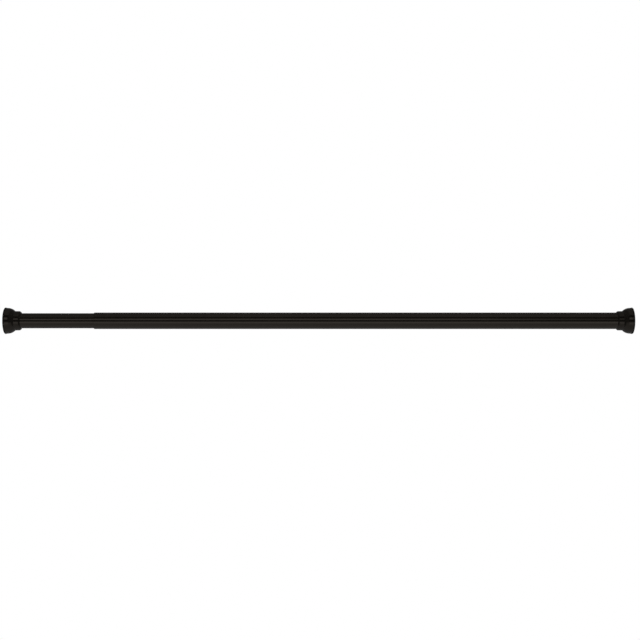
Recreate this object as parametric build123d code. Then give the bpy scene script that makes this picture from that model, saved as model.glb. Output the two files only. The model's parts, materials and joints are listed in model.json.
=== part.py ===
from build123d import *
import math
import os

# A telescoping tension rod lying along X. The origin is the centre of the thick tube's wall face,
# the rod runs towards -X, and all sizes are in millimetres at the rest length.

# Tubes
reach = 965.0                # wall face to wall face at rest
outer_tube_diameter = 25.4
outer_tube_length = 821.3
tube_wall = 0.8
slide_clearance = 0.3        # thin tube to thick tube, radial
mouth_round = 0.4            # outer edge of the thick tube's mouth

# Travels
retract_travel = 85.0        # how far the locked length can shorten
spring_travel = 25.0         # stroke of the tension spring
cone_travel = 2.5            # draw of the cone nut between locked and free
stop_gap = 1.0               # left between the lock and the end cap at the shortest length

# End caps, by stations counted from the wall face
cap_length = 24.5
pad_thickness = 2.0
rim_band = 5.55              # end of the nearly straight band
rim_draft = 4.7              # degrees
rim_flare = 5.25             # how far the rim stands out past the collar
collar_wall = 2.05
collar_length = 9.1
collar_draft = 1.0           # degrees
collar_chamfer_length = 1.8
collar_chamfer_depth = 1.6
collar_round = 0.4           # where the chamfer starts
neck_round = 0.6             # between shoulder and collar
cap_wall = 2.0
web_thickness = 2.4
socket_depth = 18.0
socket_clearance = 0.1       # tube in its socket, radial
spigot_length = 14.0
spigot_wall = 2.0
spigot_clearance = 0.35      # spigot to tube bore, radial
crush_rib_count = 6
crush_rib_width = 1.6
crush_clearance = 0.03       # crush rib to tube bore, radial
bell_rib_count = 8
bell_rib_thickness = 1.4
bell_rib_setback = 1.0       # ribs end this far behind the rim

# Wall pads
pad_overhang = 0.3           # pad past the cap's rim, radial
pad_round = 0.7
pad_boss_clearance = 0.15
pad_boss_gap = 0.3           # boss face to web
grip_ring_count = 4
grip_ring_first = 5.5        # radius of the smallest ring
grip_ring_pitch = 3.5
grip_ring_width = 1.2
grip_ring_depth = 0.6

# Tube end bush
bush_flange = 3.0
bush_spigot = 18.0
bush_clearance = 0.2         # bush flange to thick tube, radial
bush_fit = 0.05              # bush spigot to thin tube, radial
bush_core_depth = 12.0
bush_core_wall = 2.4
bush_web_count = 6
bush_web_thickness = 1.6
stake_count = 3
stake_radius = 3.0
stake_depth = 1.0
stake_clearance = 0.15

# Tension spring
spring_length = 60.0         # installed
spring_wire = 2.0
spring_gap = 1.9             # spring to thick tube, radial
spring_active_turns = 6
spring_closed_pitch = 1.04   # pitch of the closed end turns, in wire diameters
spring_pilot_clearance = 0.5
spring_pilot_length = 3.0

# Lock spindle
hex_across_flats = 8.0
hex_clearance = 0.15         # per side
stud_length = 12.0
spindle_flange = 3.0
journal_diameter = 10.0
tip_length = 2.0             # end of the journal past the clip's groove
tip_chamfer = 1.0
running_clearance = 0.1      # turning fits on the journal, radial
thrust_gap = 0.05            # at each turning face

# Small steel pieces
stop_washer_thickness = 1.6
stop_washer_land = 3.8       # washer width, inside to outside radius
stop_washer_clearance = 0.2
stop_nut_across_flats = 13.0
stop_nut_height = 6.5
stop_nut_clearance = 0.05
thrust_washer_thickness = 1.0
thrust_washer_gap = 1.9      # to the thick tube, radial
clip_thickness = 1.0
clip_groove_width = 1.15
clip_groove_depth = 1.0
clip_seat_clearance = 0.05
clip_relief = 0.6            # ring of the clip outside the journal
clip_band = 1.9
clip_lug_width = 2.6

# Lock sleeve and drag ring
sleeve_ring = 7.0
finger_length = 19.0
finger_count = 4
finger_slot = 2.4
finger_tip_wall = 2.4
finger_hinge_wall = 2.6
sleeve_clearance = 0.1       # sleeve to thick tube, radial
wedge_length = 9.0
wedge_angle = 9.0            # degrees
drag_groove_depth = 2.0
drag_groove_width = 2.6
drag_clearance = 0.05
grip_groove_count = 3
grip_groove_width = 1.0
grip_groove_depth = 0.4
grip_groove_pitch = 2.6

# Cone nut
cone_length = 14.0
cone_engagement = 10.6       # length inside the sleeve when locked
wedge_clearance = 0.05
key_clearance = 0.2          # per side, in the sleeve's slots
key_setback = 0.5            # key tops below the sleeve's outside
clip_gap = 0.3               # cone nut to clip when free

# Radii that follow from the tubes
outer_radius = outer_tube_diameter / 2
outer_bore = outer_radius - tube_wall
inner_radius = outer_bore - slide_clearance
inner_bore = inner_radius - tube_wall
collar_radius = outer_radius + collar_wall
rim_radius = collar_radius + rim_flare
pad_radius = rim_radius + pad_overhang
collar_slope = math.tan(math.radians(collar_draft))
collar_base = collar_radius + collar_length * collar_slope
journal_radius = journal_diameter / 2
spring_radius = outer_bore - spring_gap - spring_wire / 2
pilot_radius = spring_radius - spring_wire / 2 - spring_pilot_clearance
sleeve_radius = outer_bore - sleeve_clearance
finger_tip_bore = sleeve_radius - finger_tip_wall
wedge_slope = math.tan(math.radians(wedge_angle))

# Stations along the caps
tube_seat = cap_length - socket_depth
recess_depth = tube_seat - web_thickness
neck = cap_length - collar_length

# Stations along the rod, from the thick tube's end to the thin tube's end
outer_tube_end = -tube_seat
outer_mouth = outer_tube_end - outer_tube_length
spindle_tip = outer_tube_end - spigot_length - retract_travel - stop_gap
clip_groove_end = spindle_tip - tip_length
clip_groove_start = clip_groove_end - clip_groove_width
cone_end = clip_groove_start - clip_gap - cone_travel
cone_start = cone_end - cone_length
sleeve_end = cone_start + cone_engagement
sleeve_start = sleeve_end - finger_length - sleeve_ring
washer_end = sleeve_start - thrust_gap
flange_end = washer_end - thrust_washer_thickness - thrust_gap
flange_start = flange_end - spindle_flange
spring_start = flange_start - spring_length
inner_tube_end = spring_start - bush_flange
bush_start = inner_tube_end - bush_spigot
hex_start = bush_start - thrust_gap
stud_start = hex_start - stud_length
inner_wall_face = -reach
inner_tube_start = inner_wall_face + tube_seat
stake_station = inner_tube_end - bush_spigot / 2
stake_centre = inner_radius + stake_radius - stake_depth


def lathe(corners, rounds=()):
    """Solid turned about X from (station, radius) corners, some of them rounded."""
    section = make_face(Polyline(*corners, close=True))
    for corner, radius in rounds:
        section = fillet(section.vertices().sort_by_distance((*corner, 0))[0], radius)
    return revolve(section, Axis.X)


def bar(start, end, radius):
    """Round bar on the rod's axis."""
    return lathe([(start, 0), (start, radius), (end, radius), (end, 0)])


def ring(start, end, inside, outside):
    """Plain ring about the rod's axis."""
    return lathe([(start, inside), (start, outside), (end, outside), (end, inside)])


def hexagon(start, end, across_flats):
    """Hexagonal bar on the rod's axis."""
    outline = RegularPolygon(across_flats / 2, 6, major_radius=False)
    return Pos(start, 0, 0) * extrude(Plane.YZ * outline, end - start)


def spokes(start, end, count, thickness, radius):
    """Thin radial plates, equally spaced round the rod's axis."""
    plate = Pos((start + end) / 2, 0, radius / 2) * Box(end - start, thickness, radius)
    return [Rot(360 * i / count, 0, 0) * plate for i in range(count)]


def at_inner_end(shape):
    """Place a piece modelled from its wall face on the thin tube's end."""
    return Pos(inner_wall_face, 0, 0) * shape


def at_outer_end(shape):
    """Place a piece modelled from its wall face on the thick tube's end."""
    return Rot(0, 0, 180) * shape


def bell(inset, start, end):
    """Solid under the bell's outline: straight band, then a shoulder arc tangent to it.

    The inset moves the outline inwards along its normal, so one outline gives outside and core.
    """
    draft = math.radians(rim_draft)
    along = (math.cos(draft), -math.sin(draft))
    inward = (-math.sin(draft), -math.cos(draft))
    turn_radius = rim_radius - (rim_band - pad_thickness) * math.tan(draft)
    run = neck - rim_band
    drop = collar_base - turn_radius
    arc = (run * run + drop * drop) / (2 * (run * inward[0] + drop * inward[1]))
    centre = (rim_band + arc * inward[0], turn_radius + arc * inward[1])
    turn = (rim_band + inset * inward[0], turn_radius + inset * inward[1])
    end_radius = centre[1] + math.sqrt((arc - inset) ** 2 - (end - centre[0]) ** 2)
    start_radius = turn[1] + (turn[0] - start) * math.tan(draft)
    section = make_face([
        *Polyline((end, 0), (start, 0), (start, start_radius), turn).edges(),
        TangentArc(turn, (end, end_radius), tangent=along),
        Line((end, end_radius), (end, 0)),
    ])
    return revolve(section, Axis.X)


def end_cap(tube_radius):
    """Bell cap moulded round a tube's end: socket, spigot with crush ribs, cored and ribbed bell."""
    socket_radius = tube_radius + socket_clearance
    core_radius = socket_radius + cap_wall
    bore = tube_radius - tube_wall
    spigot_radius = bore - spigot_clearance
    chamfer_start = (cap_length - collar_chamfer_length, collar_radius + collar_chamfer_length * collar_slope)
    collar = lathe(
        [(neck, 0), (neck, collar_base), chamfer_start, (cap_length, chamfer_start[1] - collar_chamfer_depth),
         (cap_length, 0)],
        rounds=[(chamfer_start, collar_round)])
    cap = bell(0, pad_thickness, neck) + collar
    cap = fillet(cap.edges().sort_by_distance((neck, 0, collar_base))[0], neck_round)

    core_end = neck - 2 * cap_wall
    core = bell(cap_wall, 0, core_end) - bar(0, core_end, core_radius)
    core -= spokes(pad_thickness + bell_rib_setback, neck, bell_rib_count, bell_rib_thickness, rim_radius)
    cap -= core
    cap -= bar(0, recess_depth, socket_radius)
    cap -= bar(tube_seat, cap_length + 1, socket_radius)

    spigot_end = tube_seat + spigot_length
    spigot_bore = spigot_radius - spigot_wall
    lead = spigot_wall / 2
    spigot = lathe([(recess_depth, 0), (recess_depth, spigot_radius), (spigot_end - lead, spigot_radius),
                    (spigot_end, spigot_radius - lead), (spigot_end, spigot_bore), (tube_seat, spigot_bore),
                    (tube_seat, 0)])
    crush_band = ring(tube_seat, spigot_end - spigot_wall, spigot_bore, bore - crush_clearance)
    for plate in spokes(tube_seat, spigot_end, crush_rib_count, crush_rib_width, tube_radius):
        spigot += crush_band & plate
    return cap + spigot


def wall_pad(tube_radius):
    """Rubber disc with a boss in the cap's recess and grip rings in its wall face."""
    boss_radius = tube_radius + socket_clearance - pad_boss_clearance
    boss_end = recess_depth - pad_boss_gap
    pad = lathe(
        [(0, 0), (0, pad_radius), (pad_thickness, pad_radius), (pad_thickness, boss_radius),
         (boss_end, boss_radius), (boss_end, 0)],
        rounds=[((0, pad_radius), pad_round)])
    for i in range(grip_ring_count):
        middle = grip_ring_first + i * grip_ring_pitch
        pad -= ring(-1, grip_ring_depth, middle - grip_ring_width / 2, middle + grip_ring_width / 2)
    return pad


def outer_tube():
    """Thick tube, its mouth's outer edge rounded."""
    return lathe(
        [(outer_mouth, outer_bore), (outer_mouth, outer_radius), (outer_tube_end, outer_radius),
         (outer_tube_end, outer_bore)],
        rounds=[((outer_mouth, outer_radius), mouth_round)])


def stakes(extra):
    """Balls that press the thin tube's wall into the bush, equally spaced."""
    ball = Pos(stake_station, 0, stake_centre) * Sphere(stake_radius + extra)
    return [Rot(360 * i / stake_count, 0, 0) * ball for i in range(stake_count)]


def inner_tube():
    """Thin tube with its wall pressed into the bush at the stakes."""
    tube = ring(inner_tube_start, inner_tube_end, inner_bore, inner_radius)
    inside = bar(inner_tube_start, inner_tube_end, inner_bore + tube_wall / 2)
    for dome in stakes(tube_wall):
        tube += dome & inside
    return tube - stakes(0)


def tube_end_bush():
    """Nylon bush in the thin tube's hidden end: guide flange, cored spigot, hexagonal hole."""
    spigot_radius = inner_bore - bush_fit
    core_outside = spigot_radius - bush_core_wall
    core_inside = hex_across_flats / math.sqrt(3) + hex_clearance + bush_core_wall / 2
    bush = lathe([(bush_start, 0), (bush_start, spigot_radius), (inner_tube_end, spigot_radius),
                  (inner_tube_end, outer_bore - bush_clearance), (spring_start, outer_bore - bush_clearance),
                  (spring_start, pilot_radius), (spring_start + spring_pilot_length, pilot_radius),
                  (spring_start + spring_pilot_length, 0)])
    core = ring(bush_start - 1, bush_start + bush_core_depth, core_inside, core_outside)
    core -= spokes(bush_start - 1, inner_tube_end, bush_web_count, bush_web_thickness, inner_bore)
    bush -= core
    bush -= hexagon(bush_start - 1, flange_start, hex_across_flats + 2 * hex_clearance)
    return bush - stakes(tube_wall + stake_clearance)


def tension_spring():
    """Compression spring with closed, ground ends: a coil of even pitch that eases to closed end turns."""
    closed_rise = spring_closed_pitch * spring_wire
    middle_rise = (spring_length - 2 * closed_rise) / spring_active_turns
    turns = spring_active_turns + 2
    steps_per_turn = 12
    path_points = []
    for i in range(turns * steps_per_turn + 1):
        turn = i / steps_per_turn
        station = min(turn, 1) * closed_rise
        station += min(max(turn - 1, 0), spring_active_turns) * middle_rise
        station += max(turn - 1 - spring_active_turns, 0) * closed_rise
        angle = 2 * math.pi * turn
        across = spring_radius * math.cos(angle)
        up = spring_radius * math.sin(angle)
        path_points.append((spring_start + station, across, up))
    path = Spline(*path_points)
    coil = sweep(Plane(path @ 0, z_dir=path % 0) * Circle(spring_wire / 2), path, is_frenet=True)
    return coil & bar(spring_start, flange_start, outer_bore)


def lock_spindle():
    """Steel spindle: stud, hexagonal drive, spring flange and the journal that carries the lock."""
    spindle = hexagon(hex_start, flange_end, hex_across_flats)
    spindle += bar(stud_start, hex_start + 1, hex_across_flats / 2)
    spindle += bar(flange_start - spring_pilot_length, flange_start, pilot_radius)
    spindle += bar(flange_start, flange_end, spring_radius + spring_wire / 4)
    spindle += lathe([(flange_end, 0), (flange_end, journal_radius),
                      (spindle_tip - tip_chamfer, journal_radius),
                      (spindle_tip, journal_radius - tip_chamfer), (spindle_tip, 0)])
    groove_floor = journal_radius - clip_groove_depth
    return spindle - ring(clip_groove_start, clip_groove_end, groove_floor, sleeve_radius)


def stop_washer():
    """Washer that keeps the spindle in the bush."""
    inside = hex_across_flats / 2 + stop_washer_clearance
    return ring(hex_start - stop_washer_thickness, hex_start, inside, inside + stop_washer_land)


def stop_nut():
    """Nut behind the stop washer, its corners turned down."""
    end = hex_start - stop_washer_thickness
    start = end - stop_nut_height
    corner = stop_nut_across_flats / math.sqrt(3)
    flat = stop_nut_across_flats / 2
    turned = lathe([(start, 0), (start, flat), (start + corner - flat, corner), (end, corner), (end, 0)])
    nut = hexagon(start, end, stop_nut_across_flats) & turned
    return nut - bar(start - 1, end + 1, hex_across_flats / 2 + stop_nut_clearance)


def thrust_washer():
    """Washer between the turning flange and the sleeve."""
    return ring(washer_end - thrust_washer_thickness, washer_end, journal_radius + running_clearance,
                outer_bore - thrust_washer_gap)


def lock_sleeve():
    """Split sleeve: a journal ring with the drag groove, and fingers with a wedge bore and grip grooves."""
    ring_end = sleeve_start + sleeve_ring
    wedge_start = sleeve_end - wedge_length
    wedge_bore = finger_tip_bore - wedge_length * wedge_slope
    hinge_bore = sleeve_radius - finger_hinge_wall
    journal_bore = journal_radius + running_clearance
    sleeve = lathe([(sleeve_start, journal_bore), (sleeve_start, sleeve_radius), (sleeve_end, sleeve_radius),
                    (sleeve_end, finger_tip_bore), (wedge_start, wedge_bore), (wedge_start, hinge_bore),
                    (ring_end, hinge_bore), (ring_end, journal_bore)])
    sleeve -= spokes(ring_end, sleeve_end + 1, finger_count, finger_slot, outer_bore)
    drag_middle = sleeve_start + sleeve_ring / 2
    sleeve -= ring(drag_middle - drag_groove_width / 2, drag_middle + drag_groove_width / 2,
                   sleeve_radius - drag_groove_depth, outer_bore)
    for i in range(grip_groove_count):
        middle = sleeve_end - (i + 1) * grip_groove_pitch
        sleeve -= ring(middle - grip_groove_width / 2, middle + grip_groove_width / 2,
                       sleeve_radius - grip_groove_depth, outer_bore)
    return sleeve


def drag_ring():
    """Rubber ring in the sleeve's groove that drags on the thick tube's bore."""
    groove_radius = sleeve_radius - drag_groove_depth
    section_radius = (outer_bore - groove_radius) / 2 - drag_clearance
    middle = Pos(sleeve_start + sleeve_ring / 2, 0, 0) * Rot(0, 90, 0)
    return middle * Torus((outer_bore + groove_radius) / 2, section_radius)


def cone_nut():
    """Tapered nut on the journal with keys that slide in the sleeve's slots."""
    start_radius = finger_tip_bore - wedge_clearance - cone_engagement * wedge_slope
    end_radius = start_radius + cone_length * wedge_slope
    nut = lathe([(cone_start, 0), (cone_start, start_radius), (cone_end, end_radius), (cone_end, 0)])
    key_band = bar(cone_start, cone_end, sleeve_radius - key_setback)
    for key in spokes(cone_start, cone_end, finger_count, finger_slot - 2 * key_clearance, outer_bore):
        nut += key & key_band
    return nut - bar(cone_start - 1, cone_end + 1, journal_radius + running_clearance)


def stop_clip():
    """Open clip with three lugs in the spindle's groove."""
    start = (clip_groove_start + clip_groove_end - clip_thickness) / 2
    end = start + clip_thickness
    inside = journal_radius + clip_relief
    outside = inside + clip_band
    seat = journal_radius - clip_groove_depth + clip_seat_clearance
    clip = ring(start, end, inside, outside)
    lug_band = ring(start, end, seat, inside + clip_band / 2)
    for angle in (0, 105, -105):
        lug = Pos((start + end) / 2, 0, outside / 2) * Box(clip_thickness, clip_lug_width, outside)
        clip += lug_band & (Rot(angle, 0, 0) * lug)
    mouth = Pos((start + end) / 2, 0, -outside) * Box(clip_thickness, 1.7 * seat, 2 * outside)
    return clip - mouth


pieces = {
    "outer_tube": outer_tube(),
    "outer_end_cap": at_outer_end(end_cap(outer_radius)),
    "outer_wall_pad": at_outer_end(wall_pad(outer_radius)),
    "inner_tube": inner_tube(),
    "inner_end_cap": at_inner_end(end_cap(inner_radius)),
    "inner_wall_pad": at_inner_end(wall_pad(inner_radius)),
    "tube_end_bush": tube_end_bush(),
    "tension_spring": tension_spring(),
    "lock_spindle": lock_spindle(),
    "stop_washer": stop_washer(),
    "stop_nut": stop_nut(),
    "thrust_washer": thrust_washer(),
    "lock_sleeve": lock_sleeve(),
    "drag_ring": drag_ring(),
    "cone_nut": cone_nut(),
    "stop_clip": stop_clip(),
}

os.makedirs("parts", exist_ok=True)
for name, shape in pieces.items():
    export_step(shape, "parts/" + name + ".step")
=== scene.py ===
import json
import math

import bpy
import numpy as np
from bpy.props import FloatProperty, FloatVectorProperty, IntProperty, PointerProperty
from bpy.types import Operator, Panel, PropertyGroup
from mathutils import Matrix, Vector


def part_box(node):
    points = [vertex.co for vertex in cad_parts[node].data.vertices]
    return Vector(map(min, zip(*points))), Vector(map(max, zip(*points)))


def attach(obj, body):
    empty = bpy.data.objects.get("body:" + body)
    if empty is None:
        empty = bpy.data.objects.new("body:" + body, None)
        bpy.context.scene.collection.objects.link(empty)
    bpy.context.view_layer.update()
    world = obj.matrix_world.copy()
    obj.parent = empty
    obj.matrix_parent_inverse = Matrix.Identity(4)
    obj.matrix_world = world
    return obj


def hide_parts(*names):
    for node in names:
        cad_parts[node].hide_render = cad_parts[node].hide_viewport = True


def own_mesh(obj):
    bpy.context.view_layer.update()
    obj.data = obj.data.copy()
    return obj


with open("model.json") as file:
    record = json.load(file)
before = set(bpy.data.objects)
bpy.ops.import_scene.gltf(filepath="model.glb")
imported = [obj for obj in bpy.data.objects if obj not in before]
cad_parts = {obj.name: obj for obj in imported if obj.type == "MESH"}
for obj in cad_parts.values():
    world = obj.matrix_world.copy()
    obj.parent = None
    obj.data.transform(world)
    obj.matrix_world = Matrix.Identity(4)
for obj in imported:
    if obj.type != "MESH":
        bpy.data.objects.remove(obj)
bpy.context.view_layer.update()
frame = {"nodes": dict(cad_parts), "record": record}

bl_info = {
    "name": "Shower curtain rod",
    "version": (1, 0, 0),
    "blender": (4, 5, 0),
    "location": "View3D > Sidebar > Curtain rod",
    "description": "Dresses the CAD frame of a telescoping curtain rod with fine surfaces and finishes",
    "category": "Object",
}

MM = 0.001
FULL_TURN = 2 * math.pi
WHITE = (1.0, 1.0, 1.0, 1.0)
WELD = 1e-8                 # points nearer than this, in metres, become one
NOISE_RANGE = (0.3, 0.7)    # most of the noise lies between these

# Fineness of the surfaces
ROUND_STEPS = 10            # points on a small round
SHOULDER_STEPS = 40         # points on a shoulder arc
STAKE_ROWS = 41             # rows across a stake
STAKE_SPAN = 1.3            # half the length of those rows, in radii of the stake's ball
COIL_STEPS = 72             # rows in a turn of the spring
WIRE_STEPS = 20             # points round the spring's wire
SPINDLE_STEPS = 96          # points round the spindle
THREAD_ROWS = 14            # rows in a pitch of a thread
THREAD_FLAT = 0.115         # flat at a thread's crest and root, in half pitches
RING_STEPS = 160            # sections round the drag ring
SECTION_STEPS = 32          # points on its section

# Studio lights beside the rod, each a pair of courses: levels by degrees across the rod, where 0 is level
# in front, 90 is up and 180 is level behind, and shares by a direction's part along the rod, from -1 to 1
LIGHTS = {
    "lower light": ([(-180, 0.20), (-120, 0.31), (-88, 0.46), (-25, 0.42), (-9, 0.04), (20, 0.0)],
                    [(-0.90, 0.0), (-0.74, 1.0), (0.74, 1.0), (0.90, 0.0)]),
    "lower strip": ([(-48, 0.0), (-32, 0.20), (-22, 0.55), (-16, 0.42), (-5, 0.0)],
                    [(-0.44, 0.0), (-0.28, 1.0), (0.28, 1.0), (0.44, 0.0)]),
    "upper strip": ([(6, 0.0), (19, 1.0), (25, 0.78), (34, 0.0)],
                    [(-0.44, 0.0), (-0.24, 1.0), (0.09, 1.0), (0.16, 0.40), (0.30, 0.25), (0.44, 0.0)]),
    "upper light": ([(48, 0.0), (56, 0.30), (80, 0.25), (115, 0.13), (180, 0.20)],
                    [(-0.90, 0.0), (-0.26, 0.55), (-0.14, 1.0), (0.16, 1.0), (0.30, 0.60), (0.90, 0.0)]),
}

# Least level of the studio light by a direction's part along the rod
SIDE_FILL = [(-0.50, 0.10), (-0.30, 0.0), (0.30, 0.0), (0.50, 0.10)]


def length(name, description, millimetres):
    """A length property in metres, given in millimetres."""
    return FloatProperty(name=name, description=description, default=millimetres * MM, min=0.0,
                         precision=5, unit="LENGTH")


def place(name, description, metres):
    """A place or distance on the stage, in metres."""
    return FloatProperty(name=name, description=description, default=metres, precision=4, unit="LENGTH")


def count(name, description, number):
    """A whole number of like things."""
    return IntProperty(name=name, description=description, default=number, min=1, subtype="UNSIGNED")


def share(name, description, part):
    """A plain ratio."""
    return FloatProperty(name=name, description=description, default=part, min=0.0, max=2.0,
                         subtype="FACTOR")


def colour(name, description, rgb):
    """A linear colour property."""
    return FloatVectorProperty(name=name, description=description, default=rgb, min=0.0, max=1.0, size=3,
                               subtype="COLOR")


class RodTubeSizes(PropertyGroup):
    """Radii and rounds of the two tubes."""
    outer_radius: length("Thick tube radius", "Outside of the thick tube", 12.7)
    inner_radius: length("Thin tube radius", "Outside of the thin tube", 11.6)
    wall: length("Tube wall", "Wall of both tubes", 0.8)
    mouth_round: length("Mouth round", "Round on the thick tube's mouth", 0.4)
    stake_radius: length("Stake radius", "Ball that presses the thin tube's wall into the bush", 3.0)
    stake_depth: length("Stake depth", "Depth of each stake", 1.0)
    stake_count: count("Stakes", "Stakes round the thin tube", 3)
    segments: count("Steps round", "Steps round each tube, cap and pad", 240)


class RodCapSizes(PropertyGroup):
    """Outline of the bell cap, by stations from the wall face, and of its wall pad."""
    cap_length: length("Cap length", "Wall face to the collar's end", 24.5)
    pad_thickness: length("Pad thickness", "Rubber pad on the wall face", 2.0)
    rim_radius: length("Rim radius", "Widest radius of the cap", 20.0)
    pad_radius: length("Pad radius", "Radius of the rubber pad", 20.3)
    rim_band: length("Rim band", "End of the nearly straight band", 5.55)
    rim_draft: FloatProperty(name="Rim draft", description="Taper of the band", default=math.radians(4.7),
                             subtype="ANGLE")
    rim_round: length("Rim round", "Round on the cap's rim edge", 0.25)
    collar_radius: length("Collar radius", "Radius where the collar's chamfer starts", 14.78)
    collar_base: length("Collar base radius", "Radius at the collar's start", 14.909)
    collar_length: length("Collar length", "Length of the collar", 9.1)
    chamfer_length: length("Chamfer length", "Chamfer on the collar's end, along the rod", 1.8)
    chamfer_depth: length("Chamfer depth", "Chamfer on the collar's end, across the rod", 1.6)
    collar_round: length("Collar round", "Round where the chamfer starts", 0.4)
    neck_round: length("Neck round", "Round between shoulder and collar", 0.6)
    cap_wall: length("Cap wall", "Moulded wall", 2.0)
    web: length("Web", "Wall across the cap", 2.4)
    socket_depth: length("Socket depth", "How far the tube sits in the cap", 18.0)
    socket_gap: length("Socket gap", "Tube to socket, radial", 0.1)
    spigot_length: length("Spigot length", "Spigot inside the tube", 14.0)
    spigot_gap: length("Spigot gap", "Spigot to tube bore, radial", 0.35)
    crush_gap: length("Crush gap", "Crush rib to tube bore, radial", 0.03)
    crush_ribs: count("Crush ribs", "Crush ribs on the spigot", 6)
    crush_width: length("Crush rib width", "Width of a crush rib", 1.6)
    bell_ribs: count("Bell ribs", "Ribs inside the bell", 8)
    bell_rib_width: length("Bell rib width", "Thickness of a bell rib", 1.4)
    bell_rib_setback: length("Bell rib setback", "Bell ribs behind the rim", 1.0)
    rib_root: length("Rib root", "How far a rib is sunk into its wall", 0.3)
    pad_round: length("Pad round", "Round on the pad's wall edge", 0.7)
    pad_back_round: length("Pad back round", "Round on the pad's cap edge", 0.2)
    boss_gap: length("Boss gap", "Pad boss to its recess, radial", 0.15)
    grip_first: length("First grip ring", "Radius of the smallest ring", 5.5)
    grip_pitch: length("Grip ring pitch", "Step between rings", 3.5)
    grip_width: length("Grip ring width", "Width of a ring", 1.2)
    grip_depth: length("Grip ring depth", "Depth of a ring", 0.6)
    grip_count: count("Grip rings", "Rings in the wall face", 4)


class RodLockSizes(PropertyGroup):
    """Spring, spindle and drag ring of the hidden lock."""
    wire: length("Spring wire", "Wire diameter", 2.0)
    coil_radius: length("Coil radius", "Middle of the wire to the axis", 9.0)
    active_turns: count("Active turns", "Open turns of the spring", 6)
    closed_pitch: share("Closed pitch", "Pitch of the end turns, in wire diameters", 1.04)
    compressed: share("Compressed share", "Length left at the full stroke", 35 / 60)
    hex_flats: length("Spindle flats", "Hexagon of the spindle, across flats", 8.0)
    stud_length: length("Stud length", "Threaded end behind the hexagon", 12.0)
    stud_pitch: length("Stud pitch", "Thread of the stud", 1.25)
    stud_depth: length("Stud thread depth", "Depth of that thread", 0.7)
    journal_radius: length("Journal radius", "Journal that carries the lock", 5.0)
    journal_length: length("Journal length", "Flange to the spindle's tip", 36.45)
    cone_pitch: length("Cone pitch", "Thread that draws the cone nut", 3.0)
    cone_depth: length("Cone thread depth", "Depth of that thread", 0.8)
    thread_length: length("Cone thread length", "Length of that thread", 23.0)
    flange_radius: length("Flange radius", "Flange that the spring presses on", 9.5)
    flange_length: length("Flange length", "Thickness of that flange", 3.0)
    pilot_radius: length("Pilot radius", "Boss inside the spring's end", 7.5)
    pilot_length: length("Pilot length", "Length of that boss", 3.0)
    groove_width: length("Clip groove width", "Groove for the stop clip", 1.15)
    groove_depth: length("Clip groove depth", "Depth of that groove", 1.0)
    tip: length("Tip", "Journal past the groove", 2.0)
    tip_chamfer: length("Tip chamfer", "Chamfer on the journal's end", 1.0)
    edge: length("Edge", "Chamfers of the flange and its boss", 0.3)
    drag_section: length("Drag ring section", "Section radius of the drag ring", 1.0)
    drag_radius: length("Drag ring radius", "Middle of the section to the axis", 10.85)


class RodFinishes(PropertyGroup):
    """Colours of the rod's finishes."""
    paint: colour("Paint", "Satin black paint on the tubes", (0.0058, 0.0050, 0.0038))
    plastic: colour("Cap plastic", "Black moulded plastic", (0.0056, 0.0048, 0.0038))
    rubber: colour("Pad rubber", "Black rubber", (0.0062, 0.0056, 0.0048))
    nylon: colour("Nylon", "Natural nylon", (0.72, 0.71, 0.66))
    zinc: colour("Zinc plate", "Bright zinc plate", (0.56, 0.57, 0.58))
    spring: colour("Spring steel", "Oiled spring steel", (0.42, 0.41, 0.40))
    sheen: colour("Warm sheen", "Tint of the black pieces' reflections", (1.0, 0.88, 0.76))


class RodStage(PropertyGroup):
    """Camera, floor and lamp."""
    camera_distance: place("Camera distance", "Camera to the rod's axis", 2.0)
    camera_along: place("Camera station", "Camera's place along the rod", -0.4806)
    camera_height: place("Camera height", "Camera above the rod's axis", 0.0012)
    focal_length: FloatProperty(name="Focal length", description="Lens on a 36 mm sensor", default=73.1,
                                unit="CAMERA")
    floor_length: place("Floor length", "Floor along the rod", 3.0)
    floor_width: place("Floor width", "Floor across the rod", 2.0)
    floor_drop: place("Floor drop", "Floor below the rod's axis", 0.62)
    floor_back: place("Floor back edge", "Back edge of the floor behind the rod's axis", 0.5)
    floor_colour: colour("Floor colour", "Pale matte floor", (0.9, 0.9, 0.9))
    floor_lift: share("Floor lift", "Light that the camera alone sees on the floor", 0.33)
    fade_start: share("Fade start", "Where the floor starts to fade, in shares of its half size", 0.55)
    fade_end: share("Fade end", "Where the floor is gone, in shares of its half size", 0.98)
    lamp_power: FloatProperty(name="Lamp power", description="Power of the overhead lamp", default=45.0,
                              unit="POWER")
    lamp_length: place("Lamp length", "Lamp along the rod", 3.0)
    lamp_width: place("Lamp width", "Lamp across the rod", 2.0)
    lamp_height: place("Lamp height", "Lamp above the rod's axis", 1.8)
    lamp_front: place("Lamp front", "Lamp in front of the rod's axis", 0.6)


def rounded(corners, rounds):
    """Profile through corners, some rounded.

    At a corner P with unit directions a and b to its neighbours, a round of radius R starts at
    P + a R / tan(h) and turns about P + (a + b)/|a + b| R / sin(h), where h is half the angle there.
    """
    corners = np.asarray(corners, float)
    pieces = []
    for i, corner in enumerate(corners):
        radius = rounds.get(i, 0.0)
        if not radius:
            pieces.append(corner[None])
            continue
        a = corners[i - 1] - corner
        b = corners[(i + 1) % len(corners)] - corner
        a /= np.linalg.norm(a)
        b /= np.linalg.norm(b)
        half = math.acos(np.clip(a @ b, -1, 1)) / 2
        middle = corner + (a + b) / np.linalg.norm(a + b) * radius / math.sin(half)
        first = corner + a * radius / math.tan(half) - middle
        last = corner + b * radius / math.tan(half) - middle
        done = np.linspace(0, 1, ROUND_STEPS)[:, None]
        swing = math.pi - 2 * half
        arc = (np.sin((1 - done) * swing) * first + np.sin(done * swing) * last) / math.sin(swing)
        pieces.append(middle + arc)
    return np.concatenate(pieces)


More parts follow.
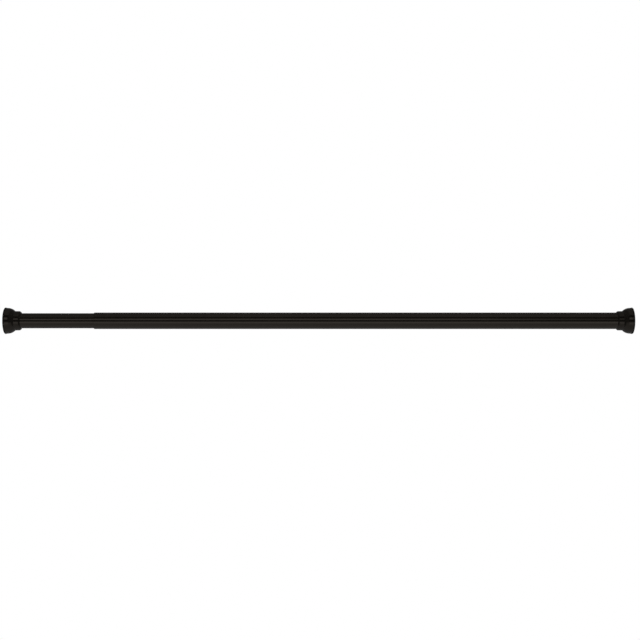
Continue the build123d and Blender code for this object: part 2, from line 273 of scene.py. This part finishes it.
def round_angles(steps):
    """Equal angles once round, the last short of the first by a step."""
    return np.linspace(0, FULL_TURN, steps, endpoint=False)


def about_axis(station, radius, angle):
    """Points about X: (station, radius cos angle, radius sin angle)."""
    return np.stack(np.broadcast_arrays(station, radius * np.cos(angle), radius * np.sin(angle)), axis=-1)


def turned(profile, steps):
    """Surface of revolution about X: each (station, radius) of the profile at equal angles once round."""
    return about_axis(profile[:, :1], profile[:, 1:], round_angles(steps))


def swept(path, normal, binormal, radius):
    """Round wire: point (i, j) = path i + radius (normal i cos t j + binormal i sin t j)."""
    angle = round_angles(WIRE_STEPS)[None, :, None]
    return path[:, None] + radius * (normal[:, None] * np.cos(angle) + binormal[:, None] * np.sin(angle))


def plates(outline, thickness, number):
    """Flat radial plates: the (station, radius) outline at plus and minus half the thickness, turned about
    X in equal steps. Gives one grid of two rows for each plate."""
    angle = round_angles(number)[:, None, None]
    across = thickness * np.array([-0.5, 0.5])[None, :, None]
    station, radius = outline[None, None, :, 0], outline[None, None, :, 1]
    return np.stack(np.broadcast_arrays(
        station, radius * np.cos(angle) - across * np.sin(angle),
        radius * np.sin(angle) + across * np.cos(angle)), axis=-1)


def grid_faces(rows, columns, rows_close):
    """Quads between neighbours of a grid whose columns close, and whose rows close where asked."""
    i = np.arange(rows if rows_close else rows - 1)[:, None]
    j = np.arange(columns)[None, :]
    next_i = (i + 1) % rows
    next_j = (j + 1) % columns
    corners = [i * columns + j, i * columns + next_j, next_i * columns + next_j, next_i * columns + j]
    return np.stack(np.broadcast_arrays(*corners), axis=-1).reshape(-1, 4)


def signed_volume(points, quads):
    """Six times the volume inside the quads: the sum of a . (b x c) over their triangles."""
    a, b, c, d = np.moveaxis(points[quads], 1, 0)
    return float(np.sum(a * np.cross(b, c)) + np.sum(a * np.cross(c, d)))


def closed_piece(name, grids, sharp=30.0):
    """One object from closed grids, each a pair of its points and whether its rows close.

    An open grid gets flat end faces, unless it ends on the axis. A grid that comes out with a negative
    volume is turned to face outwards. Points at one place are welded, which closes the poles. Edges that
    bend by more than the sharp angle, in degrees, stay hard.
    """
    all_points, all_quads, all_ends = [], [], []
    offset = 0
    for points, rows_close in grids:
        rows, columns = points.shape[:2]
        flat = points.reshape(-1, 3)
        quads = grid_faces(rows, columns, rows_close)
        first_row = np.arange(columns)[::-1]
        last_row = np.arange(columns) + (rows - 1) * columns
        ends = [] if rows_close else [first_row, last_row]
        ends = [end for end in ends if np.ptp(flat[end], axis=0).max() > WELD]
        if signed_volume(flat - flat.mean(0), quads) < 0:
            quads = quads[:, ::-1]
            ends = [end[::-1] for end in ends]
        all_points.append(flat)
        all_quads.append(quads + offset)
        all_ends += [end + offset for end in ends]
        offset += len(flat)
    points = np.concatenate(all_points)
    cells = np.round(points / WELD).astype(np.int64)
    _, kept, weld = np.unique(cells, axis=0, return_index=True, return_inverse=True)
    weld = weld.ravel()
    faces = weld[np.concatenate(all_quads)].tolist() + [weld[end].tolist() for end in all_ends]
    faces = [list(dict.fromkeys(face)) for face in faces]
    mesh = bpy.data.meshes.new(name)
    mesh.from_pydata(points[kept], [], [face for face in faces if len(face) > 2])
    mesh.update()
    mesh.shade_smooth()
    mesh.set_sharp_from_angle(angle=math.radians(sharp))
    piece = bpy.data.objects.new(name, mesh)
    bpy.context.scene.collection.objects.link(piece)
    return piece


def dress(piece, node, material):
    """Put a piece in the place of its CAD node, on that node's body, with a finish."""
    piece.data.materials.append(material)
    bodies = frame["record"]["behaviour"]["bodies"]
    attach(piece, next(body for body, nodes in bodies.items() if node in nodes))
    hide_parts(node)


def feed(tree, node, inputs):
    """Set a node's inputs, by name or number, to values or to links from other nodes' sockets."""
    for key, value in inputs.items():
        if isinstance(value, bpy.types.NodeSocket):
            tree.links.new(value, node.inputs[key])
        else:
            node.inputs[key].default_value = value


def add_node(tree, kind, inputs, **settings):
    """A new node with its inputs fed and its settings made."""
    node = tree.nodes.new(kind)
    for name, value in settings.items():
        setattr(node, name, value)
    feed(tree, node, inputs)
    return node


def add_math(tree, operation, *sources):
    """The result of a Math node on values or sockets."""
    return add_node(tree, "ShaderNodeMath", dict(enumerate(sources)), operation=operation).outputs[0]


def noise(tree, cells, stretch):
    """Fractal noise on Object coordinates with so many cells a metre, times the stretch of each axis."""
    coordinates = add_node(tree, "ShaderNodeTexCoord", {})
    mapping = add_node(tree, "ShaderNodeMapping", {"Vector": coordinates.outputs["Object"],
                                                   "Scale": stretch})
    texture = add_node(tree, "ShaderNodeTexNoise", {"Vector": mapping.outputs["Vector"], "Scale": cells})
    return texture.outputs["Fac"]


def surface(name, rgb, *, mottle_cells, mottle_change, rough_cells, rough_low, rough_high, grain_cells=0.0,
            grain_depth=0.0, grain_strength=0.0, stretch=(1.0, 1.0, 1.0), metallic=0.0, specular=0.5,
            tint=(1.0, 1.0, 1.0)):
    """A finish of a mottled colour, an uneven roughness and a fine relief.

    Each follows its own noise, given in cells a metre. The colour changes by a share of itself both ways,
    and the stretch acts on the noise of the roughness and the relief.
    """
    material = bpy.data.materials.get(name)
    if material:
        return material
    material = bpy.data.materials.new(name)
    material.use_nodes = True
    tree = material.node_tree
    low, high = NOISE_RANGE
    tone = add_node(tree, "ShaderNodeValToRGB", {"Fac": noise(tree, mottle_cells, (1.0, 1.0, 1.0))})
    dark, light = tone.color_ramp.elements
    dark.position = low
    light.position = high
    dark.color = [c * (1 - mottle_change) for c in rgb] + [1.0]
    light.color = [c * (1 + mottle_change) for c in rgb] + [1.0]
    rough = add_node(tree, "ShaderNodeMapRange", {
        "Value": noise(tree, rough_cells, stretch),
        "From Min": low,
        "From Max": high,
        "To Min": rough_low,
        "To Max": rough_high,
    })
    shader = tree.nodes["Principled BSDF"]
    feed(tree, shader, {
        "Base Color": tone.outputs["Color"],
        "Roughness": rough.outputs["Result"],
        "Metallic": metallic,
        "Specular IOR Level": specular,
        "Specular Tint": (*tint, 1.0),
    })
    if grain_cells:
        relief = add_node(tree, "ShaderNodeBump", {
            "Height": noise(tree, grain_cells, stretch),
            "Distance": grain_depth,
            "Strength": grain_strength,
        })
        feed(tree, shader, {"Normal": relief.outputs["Normal"]})
    return material


def paint_finish(finishes):
    """Satin black paint with a fine orange peel."""
    return surface("satin black paint", finishes.paint, tint=finishes.sheen,
                   mottle_cells=90, mottle_change=0.10, rough_cells=260, rough_low=0.14, rough_high=0.18,
                   grain_cells=900, grain_depth=4e-6, grain_strength=0.3)


def plastic_finish(finishes):
    """Satin black moulded plastic."""
    return surface("moulded black plastic", finishes.plastic, tint=finishes.sheen, specular=0.38,
                   mottle_cells=120, mottle_change=0.10, rough_cells=700, rough_low=0.12, rough_high=0.16,
                   grain_cells=2200, grain_depth=4e-6, grain_strength=0.3)


def rubber_finish(finishes):
    """Matte black rubber with a fine moulded grain."""
    return surface("black rubber", finishes.rubber, specular=0.35,
                   mottle_cells=300, mottle_change=0.15, rough_cells=900, rough_low=0.55, rough_high=0.70,
                   grain_cells=2600, grain_depth=2e-5, grain_strength=0.4)


def nylon_finish(finishes):
    """Natural moulded nylon."""
    return surface("natural nylon", finishes.nylon,
                   mottle_cells=140, mottle_change=0.04, rough_cells=500, rough_low=0.38, rough_high=0.48,
                   grain_cells=1500, grain_depth=1e-5, grain_strength=0.2)


def zinc_finish(finishes):
    """Bright zinc plate with a faint turned grain."""
    return surface("bright zinc plate", finishes.zinc, metallic=1.0, stretch=(3.0, 1.0, 1.0),
                   mottle_cells=160, mottle_change=0.06, rough_cells=900, rough_low=0.27, rough_high=0.34,
                   grain_cells=900, grain_depth=2e-6, grain_strength=0.1)


def spring_finish(finishes):
    """Oiled spring steel, unevenly dull."""
    return surface("oiled spring steel", finishes.spring, metallic=1.0,
                   mottle_cells=220, mottle_change=0.12, rough_cells=800, rough_low=0.22, rough_high=0.34)


class ROD_OT_tubes(Operator):
    """Build the thick and the thin tube as turned surfaces"""
    bl_idname = "rod.tubes"
    bl_label = "Tubes"

    def execute(self, context):
        sizes = context.scene.rod_tubes
        paint = paint_finish(context.scene.rod_finishes)
        mouth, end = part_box("outer_tube")[0].x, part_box("outer_tube")[1].x
        outer = sizes.outer_radius
        bore = outer - sizes.wall
        corners = [(mouth, bore), (mouth, outer), (end, outer), (end, bore)]
        profile = rounded(corners, {1: sizes.mouth_round})
        thick = closed_piece("thick_tube", [(turned(profile, sizes.segments), True)])
        dress(thick, "outer_tube", paint)

        start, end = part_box("inner_tube")[0].x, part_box("inner_tube")[1].x
        stake = (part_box("tube_end_bush")[0].x + end) / 2
        outside = self.staked(sizes, stake, start, end, 0.0)
        inside = self.staked(sizes, stake, start, end, sizes.wall)[::-1]
        thin = closed_piece("thin_tube", [(np.concatenate([outside, inside]), True)])
        dress(thin, "inner_tube", paint)
        return {"FINISHED"}

    def staked(self, sizes, stake, start, end, inset):
        """One skin of the thin tube: the smaller of its own radius and the reach of the stake's ball.

        With the ball's middle at distance m from the axis and radius q, its near side on the ray at angle
        a from it and at station x is m cos a - sqrt(m m cos a cos a - m m - x x + q q). The first stake is
        on top.
        """
        own = sizes.inner_radius - inset
        middle = sizes.inner_radius + sizes.stake_radius - sizes.stake_depth
        ball = sizes.stake_radius + inset
        near = stake + np.linspace(-STAKE_SPAN, STAKE_SPAN, STAKE_ROWS) * ball
        station = np.concatenate([[start], near, [end]])[:, None]
        angle = round_angles(sizes.segments)
        step = FULL_TURN / sizes.stake_count
        from_ball = (angle - math.pi / 2 + step / 2) % step - step / 2
        reach = middle * np.cos(from_ball)
        under_root = reach ** 2 - middle ** 2 - (station - stake) ** 2 + ball ** 2
        dimple = np.where(under_root > 0, reach - np.sqrt(np.maximum(under_root, 0)), own)
        return about_axis(station, np.minimum(own, dimple), angle)


def shoulder(sizes, inset):
    """Bell outline set in by a wall: band end, centre and radius of the shoulder arc.

    The arc leaves the band tangentially and meets the neck. With D from band end to neck and unit normal n
    of the band, its radius is D.D / (2 D.n); setting it in only shortens that radius.
    """
    normal = np.array([-math.sin(sizes.rim_draft), -math.cos(sizes.rim_draft)])
    band_drop = (sizes.rim_band - sizes.pad_thickness) * math.tan(sizes.rim_draft)
    band = np.array([sizes.rim_band, sizes.rim_radius - band_drop])
    neck = np.array([sizes.cap_length - sizes.collar_length, sizes.collar_base])
    reach = neck - band
    radius = reach @ reach / (2 * reach @ normal)
    return band + inset * normal, band + radius * normal, radius - inset


def shoulder_arc(sizes, inset, last):
    """Points of the shoulder from the band's end to a station."""
    band, centre, radius = shoulder(sizes, inset)
    first_angle = math.atan2(band[1] - centre[1], band[0] - centre[0])
    angle = np.linspace(first_angle, math.acos((last - centre[0]) / radius), SHOULDER_STEPS)
    return centre + radius * np.stack([np.cos(angle), np.sin(angle)], axis=-1)


def at_thick_end(points):
    """Half a turn about Z: a piece modelled from its wall face lies on the thick tube's end."""
    return points * np.array([-1.0, -1.0, 1.0])


def at_thin_end(points):
    """Shift along X to the thin tube's wall face."""
    return points + np.array([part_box("inner_wall_pad")[0].x, 0.0, 0.0])


class ROD_OT_end_caps(Operator):
    """Build both bell caps with their sockets, spigots and ribs"""
    bl_idname = "rod.end_caps"
    bl_label = "End caps"

    def execute(self, context):
        tubes, sizes = context.scene.rod_tubes, context.scene.rod_caps
        plastic = plastic_finish(context.scene.rod_finishes)
        caps = (("outer_end_cap", "thick_tube_cap", tubes.outer_radius, at_thick_end),
                ("inner_end_cap", "thin_tube_cap", tubes.inner_radius, at_thin_end))
        for node, name, tube, move in caps:
            grids = self.cap(sizes, tube, tubes.wall, tubes.segments)
            piece = closed_piece(name, [(move(points), rows_close) for points, rows_close in grids])
            dress(piece, node, plastic)
        return {"FINISHED"}

    def cap(self, sizes, tube, tube_wall, segments):
        """Closed profile through recess, bell core, rim, shoulder, collar, socket and spigot, turned, with
        flat plates for the ribs of the bell and of the spigot."""
        socket = tube + sizes.socket_gap
        core = socket + sizes.cap_wall
        seat = sizes.cap_length - sizes.socket_depth
        recess = seat - sizes.web
        neck = sizes.cap_length - sizes.collar_length
        core_end = neck - 2 * sizes.cap_wall
        bore = tube - tube_wall
        spigot = bore - sizes.spigot_gap
        hollow = spigot - sizes.cap_wall
        tip = seat + sizes.spigot_length
        lead = sizes.cap_wall / 2
        rim = sizes.pad_thickness
        slope = math.tan(sizes.rim_draft)

        inner_arc = shoulder_arc(sizes, sizes.cap_wall, core_end)[::-1]
        inner_rim = inner_arc[-1, 1] + (inner_arc[-1, 0] - rim) * slope
        band = rounded([(rim, inner_rim), (rim, sizes.rim_radius), shoulder(sizes, 0.0)[0]],
                       {1: sizes.rim_round})
        outer_arc = shoulder_arc(sizes, 0.0, neck)
        collar = rounded([outer_arc[-2], (neck, sizes.collar_base),
                          (sizes.cap_length - sizes.chamfer_length, sizes.collar_radius),
                          (sizes.cap_length, sizes.collar_radius - sizes.chamfer_depth),
                          (sizes.cap_length, socket)], {1: sizes.neck_round, 2: sizes.collar_round})
        profile = np.concatenate([
            [(recess, 0), (recess, socket), (rim, socket), (rim, core), (core_end, core)],
            inner_arc, band[:-1], outer_arc[:-1], collar[1:],
            [(seat, socket), (seat, spigot), (tip - lead, spigot), (tip, spigot - lead), (tip, hollow),
             (seat, hollow), (seat, 0)]])

        root = sizes.rib_root
        rib_start = rim + sizes.bell_rib_setback
        rib_arc = shoulder_arc(sizes, sizes.cap_wall - root, core_end + root)[::-1]
        rib_rim = rib_arc[-1, 1] + (rib_arc[-1, 0] - rib_start) * slope
        bell_rib = np.concatenate([
            [(rib_start, core - root), (core_end + root, core - root)], rib_arc, [(rib_start, rib_rim)]])
        crush_top = bore - sizes.crush_gap
        crush_rib = np.array([(seat - root, spigot - root), (tip - 2 * lead, spigot - root),
                              (tip - 2 * lead, crush_top), (seat, crush_top)])
        ribs = [*plates(bell_rib, sizes.bell_rib_width, sizes.bell_ribs),
                *plates(crush_rib, sizes.crush_width, sizes.crush_ribs)]
        return [(turned(profile, segments), False)] + [(rib, False) for rib in ribs]


class ROD_OT_wall_pads(Operator):
    """Build both rubber wall pads with their grip rings"""
    bl_idname = "rod.wall_pads"
    bl_label = "Wall pads"

    def execute(self, context):
        tubes, sizes = context.scene.rod_tubes, context.scene.rod_caps
        rubber = rubber_finish(context.scene.rod_finishes)
        pads = (("outer_wall_pad", "thick_tube_pad", tubes.outer_radius, at_thick_end),
                ("inner_wall_pad", "thin_tube_pad", tubes.inner_radius, at_thin_end))
        for node, name, tube, move in pads:
            low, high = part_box(node)
            points = move(turned(self.profile(sizes, tube, high.x - low.x), tubes.segments))
            dress(closed_piece(name, [(points, False)]), node, rubber)
        return {"FINISHED"}

    def profile(self, sizes, tube, back):
        """From the middle of the wall face over the grip rings to the rounded edge, then over the boss."""
        boss = tube + sizes.socket_gap - sizes.boss_gap
        middle = sizes.grip_first + sizes.grip_pitch * np.arange(sizes.grip_count)
        corner_depth = sizes.grip_depth * np.array([0, 1, 1, 0])
        corner_radius = sizes.grip_width * np.array([-0.5, -0.5, 0.5, 0.5])
        rings = np.stack(np.broadcast_arrays(corner_depth, middle[:, None] + corner_radius), axis=-1)
        rings = rings.reshape(-1, 2)
        edge = rounded([rings[-1], (0, sizes.pad_radius), (sizes.pad_thickness, sizes.pad_radius),
                        (sizes.pad_thickness, boss)], {1: sizes.pad_round, 2: sizes.pad_back_round})
        return np.concatenate([[(0, 0)], rings, edge[1:], [(back, boss), (back, 0)]])


class ROD_OT_tension_spring(Operator):
    """Build the compression spring with closed, ground ends"""
    bl_idname = "rod.tension_spring"
    bl_label = "Tension spring"

    def execute(self, context):
        sizes = context.scene.rod_lock
        start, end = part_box("tension_spring")[0].x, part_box("tension_spring")[1].x
        piece = closed_piece("tension_coil", [(self.coil(sizes, start, end), False)], sharp=50.0)
        dress(piece, "tension_spring", spring_finish(context.scene.rod_finishes))
        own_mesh(piece)
        return {"FINISHED"}

    def coil(self, sizes, start, end):
        """Helix of even pitch whose first and last turn rise only a wire's width, its wire cut flat at both
        ends: the path's station adds up the rise of each turn, and the wire's stations are held between the
        two end planes."""
        turns = sizes.active_turns + 2
        closed = sizes.closed_pitch * sizes.wire
        turn = np.linspace(0, turns, turns * COIL_STEPS + 1)
        station = start + np.interp(turn, [0, 1, turns - 1, turns],
                                    [0, closed, end - start - closed, end - start])
        around = FULL_TURN * turn
        path = about_axis(station, sizes.coil_radius, around)
        radial = about_axis(0.0, 1.0, around)
        along = np.gradient(path, axis=0)
        along /= np.linalg.norm(along, axis=1, keepdims=True)
        wire = swept(path, radial, np.cross(along, radial), sizes.wire / 2)
        wire[..., 0] = np.clip(wire[..., 0], start, end)
        return wire


class ROD_OT_lock_spindle(Operator):
    """Build the lock spindle with its hexagon, flange, clip groove and two threads"""
    bl_idname = "rod.lock_spindle"
    bl_label = "Lock spindle"

    def execute(self, context):
        low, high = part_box("lock_spindle")
        rows = self.rows(context.scene.rod_lock, low.x, high.x)
        piece = closed_piece("threaded_spindle", [(rows, False)], sharp=35.0)
        dress(piece, "lock_spindle", zinc_finish(context.scene.rod_finishes))
        return {"FINISHED"}

    def rows(self, sizes, start, end):
        """Surface r(x, t) about X, one block of rows after another: round rows, the hexagon, whose radius
        at angle u from the middle of a flat is half its flats / cos u, and threads."""
        angle = round_angles(SPINDLE_STEPS)
        stud, journal = sizes.hex_flats / 2, sizes.journal_radius
        pilot_radius, flange_radius, edge = sizes.pilot_radius, sizes.flange_radius, sizes.edge
        hexagon = stud / np.cos(angle % (math.pi / 3) - math.pi / 6)
        hex_start = start + sizes.stud_length
        flange_end = end - sizes.journal_length
        flange = flange_end - sizes.flange_length
        pilot = flange - sizes.pilot_length
        groove_end = end - sizes.tip
        groove = groove_end - sizes.groove_width
        groove_floor = journal - sizes.groove_depth
        blocks = [
            self.circles([(start, 0), (start, stud - sizes.stud_depth)], angle),
            self.thread(start, hex_start, stud, sizes.stud_pitch, sizes.stud_depth, angle),
            (np.array([hex_start, pilot]), np.stack([hexagon, hexagon])),
            self.circles([(pilot, pilot_radius - edge), (pilot + edge, pilot_radius),
                          (flange, pilot_radius), (flange, flange_radius - edge),
                          (flange + edge, flange_radius), (flange_end - edge, flange_radius),
                          (flange_end, flange_radius - edge), (flange_end, journal)], angle),
            self.thread(groove - sizes.thread_length, groove - edge, journal, sizes.cone_pitch,
                        sizes.cone_depth, angle),
            self.circles([(groove, journal), (groove, groove_floor), (groove_end, groove_floor),
                          (groove_end, journal), (end - sizes.tip_chamfer, journal),
                          (end, journal - sizes.tip_chamfer), (end, 0)], angle),
        ]
        station = np.concatenate([stations for stations, _ in blocks])[:, None]
        radius = np.concatenate([radii for _, radii in blocks])
        return about_axis(station, radius, angle)

    def circles(self, profile, angle):
        """Round rows from (station, radius) pairs."""
        profile = np.array(profile)
        return profile[:, 0], profile[:, 1:] * np.ones_like(angle)

    def thread(self, start, end, radius, pitch, depth, angle):
        """Helical groove: the depth follows a triangle wave of x / pitch - t / turn, clipped to flats at
        crest and root, and runs out to nothing over the last pitch at both ends."""
        station = np.linspace(start, end, round((end - start) / pitch * THREAD_ROWS))[:, None]
        phase = (station / pitch - angle / FULL_TURN) % 1
        wave = np.clip((np.abs(2 * phase - 1) - THREAD_FLAT) / (1 - 2 * THREAD_FLAT), 0, 1)
        run_out = np.clip(np.minimum(station - start, end - station) / pitch, 0, 1)
        return station[:, 0], radius - depth * wave * run_out


class ROD_OT_lock(Operator):
    """Build the drag ring and finish the lock's other pieces"""
    bl_idname = "rod.lock"
    bl_label = "Lock"

    def execute(self, context):
        sizes, finishes = context.scene.rod_lock, context.scene.rod_finishes
        low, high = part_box("drag_ring")
        section = self.section(sizes, (low.x + high.x) / 2)
        ring = closed_piece("rubber_drag_ring", [(turned(section, RING_STEPS), True)])
        dress(ring, "drag_ring", rubber_finish(finishes))
        for finish, nodes in ((nylon_finish, ("tube_end_bush", "lock_sleeve", "cone_nut")),
                              (zinc_finish, ("stop_nut", "stop_washer", "thrust_washer")),
                              (spring_finish, ("stop_clip",))):
            for node in nodes:
                materials = frame["nodes"][node].data.materials
                materials.clear()
                materials.append(finish(finishes))
        return {"FINISHED"}

    def section(self, sizes, middle):
        """Round section of the drag ring: a circle about its middle station and its middle radius."""
        angle = round_angles(SECTION_STEPS)
        return np.stack([middle + sizes.drag_section * np.sin(angle),
                         sizes.drag_radius + sizes.drag_section * np.cos(angle)], axis=-1)


class ROD_OT_stage(Operator):
    """Set up the floor, the light and the camera"""
    bl_idname = "rod.stage"
    bl_label = "Stage"

    def execute(self, context):
        scene = context.scene
        scene.view_settings.view_transform = "Standard"
        self.floor(scene)
        self.studio(scene)
        self.lamp(scene)
        self.camera(scene)
        return {"FINISHED"}

    def floor(self, scene):
        """A plain pale plane below the rod, white to the camera where no shadow falls, that fades out
        towards its border and is seen only from above.

        The fade follows the distance from the plane's middle, in units of its half length and half width.
        """
        stage = scene.rod_stage
        half = np.array([stage.floor_length, stage.floor_width, 0.0]) / 2
        corners = half * np.array([(-1, -1, 0), (1, -1, 0), (1, 1, 0), (-1, 1, 0)])
        mesh = bpy.data.meshes.new("floor")
        mesh.from_pydata(corners, [], [(0, 1, 2, 3)])
        floor = bpy.data.objects.new("floor", mesh)
        floor.location = (stage.camera_along, stage.floor_back - half[1], -stage.floor_drop)
        floor.visible_glossy = False
        scene.collection.objects.link(floor)

        material = bpy.data.materials.new("pale floor")
        material.use_nodes = True
        tree = material.node_tree
        paths = add_node(tree, "ShaderNodeLightPath", {})
        lift = add_math(tree, "MULTIPLY", paths.outputs["Is Camera Ray"], stage.floor_lift)
        matte = tree.nodes["Principled BSDF"]
        feed(tree, matte, {
            "Base Color": (*stage.floor_colour, 1.0),
            "Roughness": 0.9,
            "Specular IOR Level": 0.0,
            "Emission Color": WHITE,
            "Emission Strength": lift,
        })
        coordinates = add_node(tree, "ShaderNodeTexCoord", {})
        scaled = add_node(tree, "ShaderNodeMapping", {"Vector": coordinates.outputs["Object"],
                                                      "Scale": (1 / half[0], 1 / half[1], 1.0)})
        far = add_node(tree, "ShaderNodeVectorMath", {0: scaled.outputs["Vector"]}, operation="LENGTH")
        fade = add_node(tree, "ShaderNodeMapRange", {
            "Value": far.outputs["Value"],
            "From Min": stage.fade_start,
            "From Max": stage.fade_end,
        }, interpolation_type="SMOOTHSTEP")
        side = add_node(tree, "ShaderNodeNewGeometry", {})
        hidden = add_math(tree, "MAXIMUM", fade.outputs["Result"], side.outputs["Backfacing"])
        clear = add_node(tree, "ShaderNodeBsdfTransparent", {})
        mix = add_node(tree, "ShaderNodeMixShader", {0: hidden, 1: matte.outputs[0], 2: clear.outputs[0]})
        feed(tree, tree.nodes["Material Output"], {"Surface": mix.outputs[0]})
        mesh.materials.append(material)

    def studio(self, scene):
        """Soft studio light in long bands beside the rod, white to the camera.

        The angle across the rod is atan2(z, -y). Each light is its level at that angle times its share
        along the rod. The lights are added up, and a low fill takes over towards the rod's ends.
        """
        world = bpy.data.worlds.new("studio")
        world.use_nodes = True
        scene.world = world
        tree = world.node_tree
        coordinates = add_node(tree, "ShaderNodeTexCoord", {})
        parts = add_node(tree, "ShaderNodeSeparateXYZ", {0: coordinates.outputs["Generated"]}).outputs
        across = add_math(tree, "ARCTAN2", parts["Z"], add_math(tree, "MULTIPLY", parts["Y"], -1.0))
        degrees = add_math(tree, "DEGREES", across)
        total = 0.0
        for levels, shares in LIGHTS.values():
            level = self.course(tree, degrees, 180.0, levels)
            reach = self.course(tree, parts["X"], 1.0, shares)
            total = add_math(tree, "MULTIPLY_ADD", level, reach, total)
        strength = add_math(tree, "MAXIMUM", total, self.course(tree, parts["X"], 1.0, SIDE_FILL))
        lights = add_node(tree, "ShaderNodeBackground", {"Color": WHITE, "Strength": strength})
        backdrop = tree.nodes["Background"]
        feed(tree, backdrop, {"Color": WHITE, "Strength": 1.0})
        paths = add_node(tree, "ShaderNodeLightPath", {})
        mix = add_node(tree, "ShaderNodeMixShader", {
            0: paths.outputs["Is Camera Ray"],
            1: lights.outputs[0],
            2: backdrop.outputs[0],
        })
        feed(tree, tree.nodes["World Output"], {"Surface": mix.outputs[0]})

    def course(self, tree, source, limit, stops):
        """A number that follows stops of a source between minus and plus a limit, with straight lines
        between them."""
        span = add_node(tree, "ShaderNodeMapRange", {"Value": source, "From Min": -limit,
                                                     "From Max": limit})
        ramp = add_node(tree, "ShaderNodeValToRGB", {"Fac": span.outputs["Result"]})
        elements = ramp.color_ramp.elements
        while len(elements) < len(stops):
            elements.new(0.5)
        for element, (position, level) in zip(elements, stops):
            element.position = (position + limit) / (2 * limit)
            element.color = (level, level, level, 1.0)
        return ramp.outputs["Color"]

    def lamp(self, scene):
        """One large soft lamp overhead that points at the rod's middle, kept out of the reflections."""
        stage = scene.rod_stage
        light = bpy.data.lights.new("overhead", "AREA")
        light.shape = "RECTANGLE"
        light.size = stage.lamp_length
        light.size_y = stage.lamp_width
        light.energy = stage.lamp_power
        lamp = bpy.data.objects.new("overhead", light)
        lamp.location = (stage.camera_along, -stage.lamp_front, stage.lamp_height)
        lamp.rotation_euler = (-math.atan2(stage.lamp_front, stage.lamp_height), 0, 0)
        lamp.visible_glossy = False
        lamp.visible_camera = False
        scene.collection.objects.link(lamp)

    def camera(self, scene):
        """A level camera in front of the rod."""
        stage = scene.rod_stage
        camera = bpy.data.objects.new("camera", bpy.data.cameras.new("camera"))
        camera.data.lens = stage.focal_length
        camera.location = (stage.camera_along, -stage.camera_distance, stage.camera_height)
        camera.rotation_euler = (math.pi / 2, 0, 0)
        scene.collection.objects.link(camera)
        scene.camera = camera


class ROD_PT_panel(Panel):
    """Lists the rod's build steps, sizes, finishes and stage"""
    bl_idname = "ROD_PT_panel"
    bl_label = "Curtain rod"
    bl_space_type = "VIEW_3D"
    bl_region_type = "UI"
    bl_category = "Curtain rod"

    def draw(self, context):
        for operator in OPERATORS:
            self.layout.operator(operator.bl_idname)
        for name, group in GROUPS.items():
            box = self.layout.box()
            settings = getattr(context.scene, name)
            for key in group.__annotations__:
                box.prop(settings, key)


GROUPS = {
    "rod_tubes": RodTubeSizes,
    "rod_caps": RodCapSizes,
    "rod_lock": RodLockSizes,
    "rod_finishes": RodFinishes,
    "rod_stage": RodStage,
}
OPERATORS = (ROD_OT_tubes, ROD_OT_end_caps, ROD_OT_wall_pads, ROD_OT_tension_spring, ROD_OT_lock_spindle,
             ROD_OT_lock, ROD_OT_stage)
CLASSES = (*GROUPS.values(), *OPERATORS, ROD_PT_panel)


def register():
    """Add the classes, and one settings group of each kind to every scene."""
    for cls in CLASSES:
        bpy.utils.register_class(cls)
    for name, group in GROUPS.items():
        setattr(bpy.types.Scene, name, PointerProperty(type=group))


def unregister():
    """Take away what register adds, in the opposite order."""
    for name in GROUPS:
        delattr(bpy.types.Scene, name)
    for cls in reversed(CLASSES):
        bpy.utils.unregister_class(cls)


def main():
    """Build the rod and its stage."""
    register()
    bpy.ops.rod.tubes()
    bpy.ops.rod.end_caps()
    bpy.ops.rod.wall_pads()
    bpy.ops.rod.tension_spring()
    bpy.ops.rod.lock_spindle()
    bpy.ops.rod.lock()
    bpy.ops.rod.stage()


if __name__ == "__main__":
    main()
